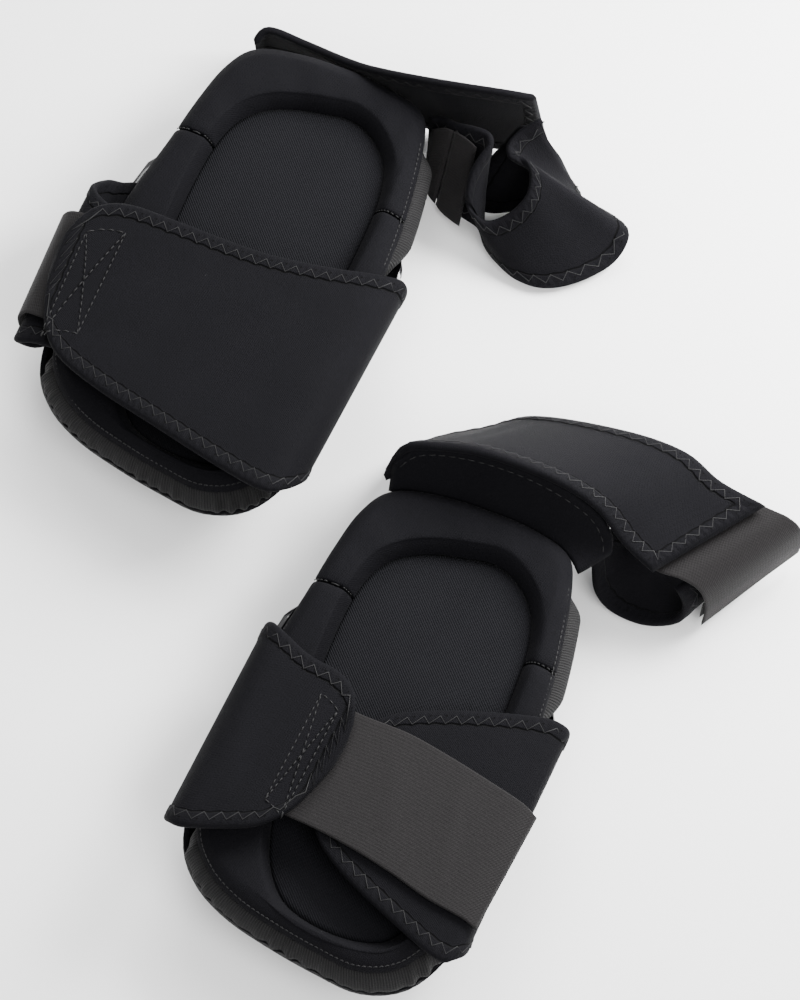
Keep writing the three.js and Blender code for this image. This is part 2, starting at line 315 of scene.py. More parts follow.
def elasticFinish():
    finish = Finish("elastic", Specular_IOR_Level=0.1, Sheen_Weight=0.03, Sheen_Roughness=0.5)
    along, across = finish.map("cloth")
    ribs = across.ridges(0.0021)
    twill = (along + across * 0.6).ridges(0.0014)
    mottle = finish.noise(70, 4)
    dark, light = (0.0035, 0.0031, 0.0033, 1), (0.0128, 0.0117, 0.0121, 1)
    grain = (finish.noise(1100, 2, 0.6) - 0.5) * 2.4 + 0.5
    colour = finish.mix(0.12 * ribs + 0.2 * twill + 0.28 * mottle + 0.4 * grain, dark, light)
    colour = finish.mix(lint(finish, 0.013, 0.1, 0.00022), colour, neopreneLook["lint"])
    finish.feed(Base_Color=colour, Roughness=0.66 + 0.14 * mottle)
    finish.bump(0.35 * ribs + 0.6 * twill + 0.4 * grain, 0.5, 0.0004)
    return finish.material


def grosgrainFinish():
    finish = Finish("grosgrain", Specular_IOR_Level=0.12, Sheen_Weight=0.01)
    along, across = finish.map("cloth")
    ribs = along.ridges(0.0016)
    weave = across.ridges(0.0011)
    wear = finish.noise(120, 4)
    dark, light = (0.002, 0.002, 0.0025, 1), (0.017, 0.0165, 0.0165, 1)
    colour = finish.mix(0.5 * ribs + 0.35 * wear, dark, light)
    finish.feed(Base_Color=colour, Roughness=0.6 + 0.2 * wear)
    finish.bump(ribs + weave * 0.3, 0.8, 0.0005)
    return finish.material


def hookFinish():
    finish = Finish("hookTape", Specular_IOR_Level=0.3)
    along, across = finish.map("cloth")
    dots = along.ridges(0.0016) * across.ridges(0.0016)
    colour = finish.mix(dots, (0.004, 0.004, 0.004, 1), (0.03, 0.03, 0.03, 1))
    finish.feed(Base_Color=colour, Roughness=0.7)
    finish.bump(dots, 0.9, 0.0006)
    return finish.material


def threadFinish():
    finish = Finish("thread", Roughness=0.6, Specular_IOR_Level=0.25)
    twist = finish.noise(1500, 1)
    finish.feed(Base_Color=finish.mix(twist, (0.003, 0.003, 0.0034, 1), (0.012, 0.0118, 0.0122, 1)))
    return finish.material


def capFinish():
    finish = Finish("capPlastic", Specular_IOR_Level=0.5, Coat_Weight=0.35, Coat_Roughness=0.08)
    scuff = finish.noise(26, 6, 0.65)
    grain = finish.noise(700, 2)
    worn = scuff.spread(0.52, 0.72)
    finish.feed(
        Base_Color=finish.mix(worn * 0.6, (0.008, 0.008, 0.009, 1), (0.028, 0.028, 0.03, 1)),
        Roughness=0.14 + 0.25 * worn,
    )
    finish.bump(grain * 0.3 + scuff, 0.12, 0.0004)
    return finish.material


def steelFinish():
    finish = Finish("rivetSteel", Metallic=1.0)
    scuff = finish.noise(300, 5)
    steel = finish.mix(scuff, (0.32, 0.32, 0.34, 1), (0.6, 0.6, 0.61, 1))
    finish.feed(Base_Color=steel, Roughness=0.28 + 0.3 * scuff)
    return finish.material


def foamFinish():
    finish = Finish("foam", Specular_IOR_Level=0.2)
    cells = finish.noise(420, 4, 0.7)
    colour = finish.mix(cells, (0.012, 0.012, 0.013, 1), (0.05, 0.05, 0.052, 1))
    finish.feed(Base_Color=colour, Roughness=0.9)
    finish.bump(cells, 0.7, 0.0008)
    return finish.material


finishes = {
    "neoprene": neopreneFinish(),
    "knit": knitFinish(),
    "elastic": elasticFinish(),
    "binding": grosgrainFinish(),
    "hook": hookFinish(),
    "thread": threadFinish(),
    "cap": capFinish(),
    "rivet": steelFinish(),
    "foam": foamFinish(),
}
print("finishes made")


def smoothThrough(points, t, closed=False):
    # the point at t, from 0 to 1, on a smooth curve through the points
    count = len(points)
    spans = count if closed else count - 1
    at = min(max(t, 0), 1) * spans
    i = min(int(at), spans - 1)
    f = at - i
    picks = [i - 1, i, i + 1, i + 2]
    picks = [k % count for k in picks] if closed else [min(max(k, 0), count - 1) for k in picks]
    a, b, c, d = (points[k] for k in picks)
    return 0.5 * (
        2 * b + (c - a) * f + (2 * a - 5 * b + 4 * c - d) * f ** 2 + (3 * b - a - 3 * c + d) * f ** 3
    )


def bell(x, middle, width):
    return math.exp(-(((x - middle) / width) ** 2))


def ease(x):
    x = min(max(x, 0), 1)
    return x * x * (3 - 2 * x)


class Walk:
    # even steps along a curve: turns a share of its length into its parameter
    def __init__(self, curve, steps=400):
        spots = [curve(i / steps) for i in range(steps + 1)]
        self.marks = [0]
        for a, b in zip(spots, spots[1:]):
            self.marks.append(self.marks[-1] + (b - a).length)
        self.length = self.marks[-1]
        self.steps = steps

    def parameter(self, share):
        goal = min(max(share, 0), 1) * self.length
        low, high = 0, self.steps
        while high - low > 1:
            half = (low + high) // 2
            if self.marks[half] > goal:
                high = half
            else:
                low = half
        gap = self.marks[high] - self.marks[low]
        return (low + (goal - self.marks[low]) / gap if gap else low) / self.steps


def finishPiece(bm, name, finish, side, merge=0.05):
    # bm is in the pad's own millimetres
    bmesh.ops.remove_doubles(bm, verts=bm.verts, dist=merge)
    bmesh.ops.dissolve_degenerate(bm, edges=bm.edges, dist=0.001)
    bmesh.ops.recalc_face_normals(bm, faces=bm.faces)
    bm.transform(placed[side] @ Matrix.Scale(mm, 4))
    for face in bm.faces:
        face.smooth = True
    mesh = bpy.data.meshes.new(name)
    bm.to_mesh(mesh)
    bm.free()
    mesh.materials.append(finishes[finish])
    piece = bpy.data.objects.new(name, mesh)
    bpy.context.scene.collection.objects.link(piece)
    return piece


def gridPiece(columns, rows, place):
    # a sheet of columns by rows, each corner put where place(u, v) says, with its two maps
    bm = bmesh.new()
    cloth = bm.loops.layers.uv.new("cloth")
    hem = bm.loops.layers.uv.new("hem")
    bmesh.ops.create_grid(bm, x_segments=columns, y_segments=rows, size=0.5)
    maps = {}
    for vert in bm.verts:
        spot, onCloth, onHem = place(vert.co.x + 0.5, vert.co.y + 0.5)
        vert.co = spot
        maps[vert] = (onCloth, onHem)
    for face in bm.faces:
        for loop in face.loops:
            onCloth, onHem = maps[loop.vert]
            loop[cloth].uv = (onCloth[0] * mm, onCloth[1] * mm)
            loop[hem].uv = (onHem[0] * mm, onHem[1] * mm)
    return bm


noHem = (0, 60)
threadWidth = 0.8


def threadPiece(name, side, lines):
    # each line is a list of points in the pad's own millimetres; all become one mesh of fine tubes
    curve = bpy.data.curves.new(name, "CURVE")
    curve.dimensions = "3D"
    curve.bevel_depth = threadWidth / 2
    curve.bevel_resolution = 0
    curve.use_fill_caps = True
    for line in lines:
        spline = curve.splines.new("POLY")
        spline.points.add(len(line) - 1)
        for point, spot in zip(spline.points, line):
            point.co = (*spot, 1)
    holder = bpy.data.objects.new(name, curve)
    bpy.context.scene.collection.objects.link(holder)
    shape = holder.evaluated_get(bpy.context.evaluated_depsgraph_get())
    mesh = bpy.data.meshes.new_from_object(shape)
    bpy.data.objects.remove(holder)
    bm = bmesh.new()
    bm.from_mesh(mesh)
    bpy.data.meshes.remove(mesh)
    return finishPiece(bm, name, "thread", side, merge=0.001)


def subdivided(piece, levels=1):
    modifier = piece.modifiers.new("smooth", "SUBSURF")
    modifier.levels = levels
    modifier.render_levels = levels
    return piece


# the rim and the recess, clockwise from the middle of the thigh end
padPoints = [
    (0, 139), (32, 138), (56, 131), (66, 114), (75, 78), (81, 40), (85, -10), (85, -70), (80, -114),
    (67, -143), (44, -156), (16, -155), (-12, -151), (-38, -145), (-60, -134), (-76, -115),
    (-84, -82), (-86, -40), (-83, 5), (-78, 45), (-74, 82), (-69, 108), (-58, 127), (-34, 136),
]
recessPoints = [
    (0, 106), (18, 109), (34, 103), (48, 89), (55, 70), (58, 42), (59, 0), (59, -60), (60, -108),
    (51, -129), (34, -137), (10, -138), (-12, -132), (-27, -117), (-37, -94), (-45, -58),
    (-49, -10), (-51, 30), (-50, 58), (-45, 78), (-34, 92), (-18, 101),
]
padReach = Vector((86, 148))
padMiddle = Vector((0, -9))


class Outline:
    # a closed outline, walked evenly from the thigh end clockwise
    def __init__(self, points):
        self.points = [Vector(point) for point in points]
        self.walk = Walk(lambda t: smoothThrough(self.points, t, True))
        self.lowest = min((self.at(i / 200).y, i / 200) for i in range(200))[1]

    def at(self, share, inset=0):
        spot = smoothThrough(self.points, self.walk.parameter(share % 1), True)
        scale = Vector(((padReach.x - inset) / padReach.x, (padReach.y - inset) / padReach.y))
        return Vector((spot.x * scale.x, padMiddle.y + (spot.y - padMiddle.y) * scale.y))

    def shareAtY(self, y, outerSide=True, inset=0):
        # the share where one side of the outline passes this y
        high, low = (0.0, self.lowest) if outerSide else (1.0, self.lowest)
        for _ in range(30):
            half = (low + high) / 2
            if self.at(half, inset).y > y:
                high = half
            else:
                low = half
        return high


padOutline = Outline(padPoints)
recessOutline = Outline(recessPoints)

bolsterShape = {
    "seamY": 57,
    "seamDip": 1.1,
    "seamWidth": 3.6,
    "waveFade": 12,
    "upperColumns": 130,
    "lowerColumns": 190,
    "rows": 40,
    # from the outer rim over the crown to the recess and back underneath
    "outer": [(7.6, 46.8), (3.2, 46.9), (1.2, 47.6), (0.9, 49.4), (2.6, 52.4), (6, 54.9), (10.5, 56.4)],
    "inner": [(11.5, 56.2), (8, 54.5), (4.9, 51.6), (2.6, 48.3), (1.1, 45), (0.6, 41), (1.5, 29)],
    "under": [(13, 29), (8.2, 35)],
}
bolsterRows = [
    *((padOutline, inset, z) for inset, z in bolsterShape["outer"]),
    *((recessOutline, -outset, z) for outset, z in bolsterShape["inner"]),
    *((padOutline, inset, z) for inset, z in bolsterShape["under"]),
]


def bolsterSection(shares, puff):
    points = []
    for (outline, inset, z), share in zip(bolsterRows, shares):
        points.append(Vector((*outline.at(share, inset), z + puff * ease((z - 44) / 10))))
    return points


def seamShares(outerSide):
    # the seam runs straight across, so each row meets it at a share of its own
    y = bolsterShape["seamY"]
    return [outline.shareAtY(y, outerSide, inset) for outline, inset, _ in bolsterRows]


def closeEnds(bm):
    # shut the two open ends of a tube that is still a flat-topped grid
    bmesh.ops.remove_doubles(bm, verts=bm.verts, dist=0.01)
    bmesh.ops.holes_fill(bm, edges=[edge for edge in bm.edges if edge.is_boundary])


def makeBolster(side, name, upper):
    starts, stops = seamShares(True), seamShares(False)
    if upper:
        stops = [share - 1 for share in stops]
    length = abs(stops[0] - starts[0]) * padOutline.walk.length
    rng = random.Random(f"{side}{name}")
    waves = [(rng.uniform(2, 9), rng.uniform(0, 6.3), rng.uniform(0.1, 0.3)) for _ in range(4)]
    columns = bolsterShape["upperColumns" if upper else "lowerColumns"]

    def place(u, v):
        # the first and last rows close the ends, and the rows beside them lie at the seam
        u = min(max((u * columns - 1) / (columns - 2), 0), 1)
        fromEnd = min(u, 1 - u) * length
        puff = -bolsterShape["seamDip"] * bell(fromEnd, 0, bolsterShape["seamWidth"])
        swells = sum(size * math.sin(count * 6.283 * u + start) for count, start, size in waves)
        puff += ease(fromEnd / bolsterShape["waveFade"]) * swells
        shares = [start + (stop - start) * u for start, stop in zip(starts, stops)]
        spot = smoothThrough(bolsterSection(shares, puff), v, True)
        return spot, (spot.x, spot.y), noHem

    bm = gridPiece(columns, bolsterShape["rows"], place)
    closeEnds(bm)
    piece = subdivided(finishPiece(bm, f"{side}_{name}_padding", "neoprene", side))
    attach(piece, f"{side}_pad")
    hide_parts(f"{side}_{name}")


panelShape = {"edge": 1.2, "top": 45, "under": 38.7, "rimDrop": 1.2, "wave": 0.5}


def makePanel(side):
    def place(u, v):
        top = v <= 0.5
        reach = min(v, 1 - v) * 2
        edge = recessOutline.at(u, -panelShape["edge"])
        spot = padMiddle + (edge - padMiddle) * reach
        height = panelShape["top"] - panelShape["rimDrop"] * reach ** 8
        height += panelShape["wave"] * math.sin(spot.x * 0.06 + 1) * math.cos(spot.y * 0.045)
        return Vector((*spot, height if top else panelShape["under"])), (spot.x, spot.y), noHem

    bm = gridPiece(120, 60, place)
    piece = finishPiece(bm, f"{side}_centre_pad", "knit", side)
    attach(piece, f"{side}_pad")
    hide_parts(f"{side}_centre_panel")


seamThread = {
    "dashes": 9,
    "start": 0.2,
    "span": 0.42,
    "rimPitch": 3.4,
    "rimInset": 3,
    "rimHeight": 52.7,
    "rimSpan": (112, 24),
    "footY": -100,
}


def seamStitches(side):
    # short dashes across the bolster on each side, where the thigh and shin parts meet
    lines = []
    for outerSide in (True, False):
        section = bolsterSection(seamShares(outerSide), 0.2 - bolsterShape["seamDip"])
        steps = seamThread["dashes"]
        for i in range(steps):
            ends = []
            for part in (0.12, 0.5, 0.88):
                at = seamThread["start"] + seamThread["span"] * (i + part * 0.8) / steps
                dip = 0.2 if part == 0.5 else -0.5
                ends.append(smoothThrough(section, at, True) + Vector((0, 0, dip)))
            lines.append(ends)
    (top, low), foot = seamThread["rimSpan"], seamThread["footY"]
    lines += rimStitches(padOutline.shareAtY(top), padOutline.shareAtY(low))
    lines += rimStitches(padOutline.shareAtY(foot), padOutline.shareAtY(foot, False))
    piece = threadPiece(f"{side}_bolster_seam_thread", side, lines)
    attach(piece, f"{side}_pad")


def rimStitches(shareFrom, shareTo):
    # a row of small dashes along the rim of the bolster
    count = int(abs(shareTo - shareFrom) * padOutline.walk.length / seamThread["rimPitch"])
    inset, height = seamThread["rimInset"], seamThread["rimHeight"]
    lines = []
    for i in range(count):
        line = []
        for part, lift in ((0.1, -0.35), (0.45, 0.15), (0.8, -0.35)):
            share = shareFrom + (shareTo - shareFrom) * (i + part) / count
            line.append(Vector((*padOutline.at(share, inset), height + lift)))
        lines.append(line)
    return lines


capShape = {
    "outer": [(86, 3), (60, 3), (44, 3.2), (30, 7), (16, 15), (8, 20), (3, 24), (-3, 29.5), (-7, 34)],
    "inner": [
        (86, 6.2), (60, 6.2), (44.5, 6.2), (31.5, 9.6), (18, 16.8), (10.5, 21.4), (5.5, 25),
        (-0.3, 30), (-4, 34.2),
    ],
    "archFoot": 20,
    "archRise": 58,
    "archReach": 90,
    "bevel": 0.7,
    "columns": 128,
    "rows": 61,
}
coverShape = {
    "outer": [
        (86, 6.9), (60, 6.9), (44, 7), (32, 10.4), (19.5, 17.4), (8.5, 26), (4, 34), (3.6, 40),
        (3.5, 46),
    ],
    "inner": [
        (86, 9.8), (60, 9.8), (44, 9.9), (33, 13.2), (22, 19.8), (12, 27.3), (7, 34), (6.6, 40),
        (6.5, 46),
    ],
}


def dishPoint(profile, share, reach):
    inset, z = smoothThrough([Vector(point) for point in profile], reach)
    if inset >= padReach.x - 1:
        return Vector((*padMiddle, z))
    return Vector((*padOutline.at(share, inset), z))


def underArch(spot):
    inside = max(0, 1 - (spot.x / capShape["archReach"]) ** 2)
    return spot.y <= capShape["archFoot"] + capShape["archRise"] * math.sqrt(inside)


def archReach(profile, share):
    # how far out along the dish the cap goes before its arched end
    if underArch(dishPoint(profile, share, 1)):
        return 1
    low, high = 0.0, 1.0
    while high - low > 0.001:
        half = (low + high) / 2
        if underArch(dishPoint(profile, share, half)):
            low = half
        else:
            high = half
    return low


def makeDish(shape, arched):
    # out along the outer wall from the middle, over the rim and back along the inner wall
    reaches = {}

    def place(u, v):
        wall = "outer" if v <= 0.5 else "inner"
        share = math.sin(min(v, 1 - v) * math.pi)
        key = (round(u, 5), wall)
        if key not in reaches:
            reaches[key] = archReach(shape[wall], u) if arched else 1
        spot = dishPoint(shape[wall], u, share * reaches[key])
        return spot, (spot.x, spot.y), noHem

    return gridPiece(capShape["columns"], capShape["rows"], place)


def makeCap(side):
    piece = finishPiece(makeDish(capShape, True), f"{side}_cap", "cap", side)
    bevel = piece.modifiers.new("edge", "BEVEL")
    bevel.width = capShape["bevel"] * mm
    bevel.segments = 2
    bevel.limit_method = "ANGLE"
    bevel.angle_limit = math.radians(50)
    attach(piece, f"{side}_pad")
    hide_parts(f"{side}_cap_shell")


treadShape = {
    "rows": (20, -8, -36, -64),
    "length": 60,
    "width": 16,
    "height": 3.3,
    "edge": 1.1,
    "cornerRadius": 7.9,
}


def makeTreads(side):
    bm = bmesh.new()
    for y in treadShape["rows"]:
        made = bmesh.ops.create_cube(bm, size=1)
        size = (treadShape["length"], treadShape["width"], treadShape["height"])
        bmesh.ops.scale(bm, vec=size, verts=made["verts"])
        bmesh.ops.translate(bm, vec=(0, y, treadShape["height"] / 2), verts=made["verts"])
    uprights = [edge for edge in bm.edges if abs(edge.verts[0].co.z - edge.verts[1].co.z) > 1]
    soften = {"profile": 0.5, "affect": "EDGES", "material": -1}
    bmesh.ops.bevel(bm, geom=uprights, offset=treadShape["cornerRadius"], segments=8, **soften)
    rims = [edge for edge in bm.edges if all(vert.co.z < 0.1 for vert in edge.verts)]
    bmesh.ops.bevel(bm, geom=rims, offset=treadShape["edge"], segments=3, **soften)
    piece = finishPiece(bm, f"{side}_cap_treads", "cap", side, merge=0.001)
    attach(piece, f"{side}_pad")


rivetShape = [
    (0, 0.5), (3.5, 0.7), (5.4, 1.3), (6, 2.2), (5.8, 2.8),
    (2.4, 2.8), (2.4, 10.4), (5, 10.6), (4.4, 11.6), (0, 11.8),
]
rivetPlaces = [(28, 44), (-28, 44), (24, -84), (-24, -84)]


def makeRivets(side):
    for i, (x, y) in enumerate(rivetPlaces, 1):
        bm = bmesh.new()
        verts = [bm.verts.new((radius, 0, z)) for radius, z in rivetShape]
        edges = [bm.edges.new(pair) for pair in zip(verts, verts[1:])]
        turn = {"cent": (0, 0, 0), "axis": (0, 0, 1), "angle": math.tau, "steps": 24}
        bmesh.ops.spin(bm, geom=verts + edges, use_merge=True, **turn)
        bmesh.ops.translate(bm, vec=(x, y, 0), verts=bm.verts)
        piece = finishPiece(bm, f"{side}_rivet_{i}", "rivet", side, merge=0.01)
        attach(piece, f"{side}_pad")
        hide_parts(f"{side}_cap_rivet_{i}")


def makeCover(side):
    piece = finishPiece(makeDish(coverShape, False), f"{side}_cover", "neoprene", side)
    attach(piece, f"{side}_pad")
    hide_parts(f"{side}_outer_cover")


bindingShape = {
    "section": [
        (4, 37), (0, 34.6), (-4.6, 34.4), (-6.6, 37), (-4.4, 41.5), (-0.4, 45.6), (3, 46.7),
        (4.2, 43),
    ],
    "gatheredSection": [
        (4, 37), (0, 34.5), (-4.5, 35), (-6.2, 38.4), (-4.8, 42.6), (-1.6, 46.6), (2.2, 48),
        (4.2, 44),
    ],
    "sideFrom": 118,
    "sideTo": 22,
    "bottomY": -100,
    "gatherPitch": 8,
    "gatherDepth": 1.1,
    "taper": 26,
    "innerReach": 0.4,
    "sewnInset": 4,
    "ruffleOut": 1.6,
    "plainStep": 3,
    "gatheredStep": 1.3,
    "rows": 28,
}


def makeBinding(side, name, shareFrom, shareTo, gathered, standOut=1):
    sewn = bindingShape["sewnInset"]
    section = bindingShape["gatheredSection" if gathered else "section"]
    length = abs(shareTo - shareFrom) * padOutline.walk.length
    rng = random.Random(f"{side}{name}")
    gathers = length / bindingShape["gatherPitch"]
    waves = [
        (gathers * rng.uniform(0.5, 1.15), rng.uniform(0, 6.3), rng.uniform(0.3, 1)) for _ in range(5)
    ]
    total = sum(size for _, _, size in waves)

    def place(u, v):
        wave = sum(size * math.sin(6.283 * count * u + start) for count, start, size in waves) / total
        fromEnd = min(u, 1 - u) * length
        points = []
        for inset, z in section:
            ruffle = bindingShape["gatherDepth"] * wave * ease((sewn - inset) / 10) if gathered else 0
            share = shareFrom + (shareTo - shareFrom) * u
            standing = standOut * (0.1 + 0.9 * ease(fromEnd / bindingShape["taper"]))
            outset = sewn - (sewn - inset + ruffle * bindingShape["ruffleOut"]) * standing
            points.append(Vector((*padOutline.at(share, outset), z + ruffle)))
        spot = smoothThrough(points, v, True)
        middle = sum(points, Vector()) / len(points)
        rounding = math.sqrt(1 - (1 - min(fromEnd, 1)) ** 2)
        spot = middle + (spot - middle) * rounding
        return spot, (u * length, v * 30), noHem

    step = bindingShape["gatheredStep" if gathered else "plainStep"]
    bm = gridPiece(int(length / step), bindingShape["rows"], place)
    piece = finishPiece(bm, f"{side}_{name}_tape", "binding", side)
    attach(piece, f"{side}_pad")
    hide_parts(f"{side}_{name}")


def makeBindings(side):
    top, low = bindingShape["sideFrom"], bindingShape["sideTo"]
    outer = padOutline.shareAtY(top), padOutline.shareAtY(low)
    inner = padOutline.shareAtY(low, False), padOutline.shareAtY(top, False)
    makeBinding(side, "outer_side_binding", *outer, False)
    makeBinding(side, "inner_side_binding", *inner, False, bindingShape["innerReach"])
    foot = bindingShape["bottomY"]
    bottom = padOutline.shareAtY(foot), padOutline.shareAtY(foot, False)
    makeBinding(side, "bottom_binding", *bottom, True)


for side in sides:
    makeCap(side)
    makeTreads(side)
    makeRivets(side)
    makeCover(side)
    makePanel(side)
    makeBolster(side, "upper_bolster", True)
    makeBolster(side, "lower_bolster", False)
    seamStitches(side)
    makeBindings(side)
    for slot in frame["nodes"][f"{side}_foam_core"].material_slots:
        slot.material = finishes["foam"]
print("pad bodies made")


class Ribbon:
    # a strap's middle surface; each station is one edge point and the other edge point
    def __init__(self, stations, crown=0):
        self.edges = [[Vector(station[i]) for station in stations] for i in (0, 1)]
        self.crown = crown
        self.walk = Walk(lambda t: (self.edge(0, t) + self.edge(1, t)) / 2)
        self.length = self.walk.length

    def edge(self, which, t):
        return smoothThrough(self.edges[which], t)

    def ends(self, s):
        t = self.walk.parameter(s / self.length)
        return self.edge(0, t), self.edge(1, t)

    def width(self, s):
        near, far = self.ends(s)
        return (far - near).length

    def flat(self, s, a):
        near, far = self.ends(s)
        return near + (far - near) * (a / max((far - near).length, 0.001))

    def normal(self, s, a):
        near, far = self.ends(s)
        ahead = self.flat(min(s + 1.5, self.length), a) - self.flat(max(s - 1.5, 0), a)
        return (far - near).cross(ahead).normalized()

    def point(self, s, a, lift=0):
        share = a / max(self.width(s), 0.001)
        bow = self.crown * math.sin(math.pi * min(max(share, 0), 1))
        return self.flat(s, a) + self.normal(s, a) * (bow + lift)


edgeOffsets = (0, 0.35, 1.0, 2.2, 4.0, 6.2, 8.4, 9.7, 10.5, 11.6)


def halfThickness(values, fromSide, fromTip, fromRoot):
    inside = min(fromSide, fromTip, fromRoot)
    radius = values["thickness"] * 0.6
    rounding = math.sqrt(1 - (1 - min(max(inside, 0) / radius, 1)) ** 2)
    hemmed = min(fromSide, fromTip) if values["hem"] else 99
    rolled = values["roll"] * (1 - ease((hemmed - 9) / 2) - 0.4 * bell(hemmed, 10.5, 0.9))
    return values["thickness"] / 2 * rounding * (1 + rolled)


def makeStrap(side, name, stations, values, step=2.6):
    ribbon = Ribbon(stations, values["crown"])
    middles = 9
    one = len(edgeOffsets) * 2 + middles
    rng = random.Random(f"{side}{name}")
    creases = [
        (rng.uniform(0, ribbon.length), rng.uniform(0.2, 0.8), rng.uniform(8, 22), rng.uniform(-1, 1))
        for _ in range(values["creases"])
    ]

    def across(k, width):
        scale = min(1, width / 26)
        if k < len(edgeOffsets):
            return edgeOffsets[k] * scale
        if k >= len(edgeOffsets) + middles:
            return width - edgeOffsets[one - 1 - k] * scale
        low = edgeOffsets[-1] * scale
        return low + (width - 2 * low) * (k - len(edgeOffsets) + 1) / (middles + 1)

    def place(u, v):
        s = u * ribbon.length
        width = ribbon.width(s)
        k = round(v * 2 * one)
        top = k < one
        a = across(k if top else 2 * one - 1 - min(k, 2 * one - 1), width)
        if k == 2 * one:
            a, top = 0, True
        fromSide, fromTip = min(a, width - a), ribbon.length - s
        half = halfThickness(values, fromSide, fromTip, s)
        share = a / max(width, 0.001)
        dent = sum(
            size * values["creaseDepth"] * bell(s, middle + 30 * (share - 0.5) * size, reach * 0.5)
            * math.sin(math.pi * share)
            for middle, _, reach, size in creases
        )
        lift = dent + (half if top else -half)
        hemAlong = s if fromSide <= fromTip else ribbon.length + a
        onHem = (hemAlong, min(fromSide, fromTip)) if values["hem"] else noHem
        return ribbon.point(s, a, lift), (s, a), onHem

    bm = gridPiece(max(int(ribbon.length / step), 6), 2 * one, place)
    piece = finishPiece(bm, f"{side}_{name}", values["finish"], side, merge=0.02)
    return piece, ribbon


zigzag = {"inset": 7.3, "swing": 2.6, "pitch": 9, "start": 6}


def zigzagLine(ribbon, values):
    # a thread that runs along one edge, round the tip and back along the other
    inset, swing, pitch, start = (zigzag[key] for key in ("inset", "swing", "pitch", "start"))
    reach = ribbon.length - inset
    steps = int((reach - start) / (pitch / 2))
    route = [(start + (reach - start) * i / steps, "near") for i in range(steps)]
    tipWidth = ribbon.width(reach)
    count = max(int((tipWidth - 2 * inset) / (pitch / 2)), 2)
    route += [(inset + (tipWidth - 2 * inset) * i / count, "tip") for i in range(count)]
    route += [(reach - (reach - start) * i / steps, "far") for i in range(steps + 1)]
    points = []
    for i, (at, where) in enumerate(route):
        shift = swing if i % 2 else -swing
        if where == "near":
            s, a = at, inset + shift
        elif where == "far":
            s, a = at, ribbon.width(at) - inset - shift
        else:
            s, a = ribbon.length - inset - shift, at
        width = ribbon.width(s)
        a = min(max(a, 1), width - 1)
        lift = halfThickness(values, min(a, width - a), ribbon.length - s, s) + 0.1
        points.append(ribbon.point(s, a, lift * values["face"]))
    return points


def dashes(ribbon, values, route, dash=3.2, gap=1.3):
    # a straight stitched line between points given as (along, across)
    lines = []
    for (s0, a0), (s1, a1) in zip(route, route[1:]):
        length = math.hypot(s1 - s0, a1 - a0)
        count = max(int(length / (dash + gap)), 1)
        for i in range(count):
            line = []
            for part, dip in ((0, -0.35), (0.5, 0.25), (1, -0.35)):
                share = (i + (gap + dash * part) / (dash + gap)) / count
                s, a = s0 + (s1 - s0) * share, a0 + (a1 - a0) * share
                width = ribbon.width(s)
                half = halfThickness(values, min(a, width - a), ribbon.length - s, s)
                line.append(ribbon.point(s, a, (half + dip) * values["face"]))
            lines.append(line)
    return lines


wing = {
    "finish": "neoprene",
    "thickness": 4.6,
    "hem": True,
    "roll": 0.2,
    "crown": 0,
    "creases": 4,
    "creaseDepth": 0.7,
    "face": 1,
}
turnedWing = {**wing, "face": -1}
catchWing = {**wing, "thickness": 4}
turnedCatchWing = {**catchWing, "face": -1}
curledWing = {**wing, "thickness": 3.4}
band = {
    "finish": "elastic",
    "thickness": 1.7,
    "hem": False,
    "roll": 0,
    "crown": 0,
    "creases": 3,
    "creaseDepth": 0.35,
    "face": 1,
}
patch = {**band, "finish": "hook", "thickness": 1.1, "creases": 0}

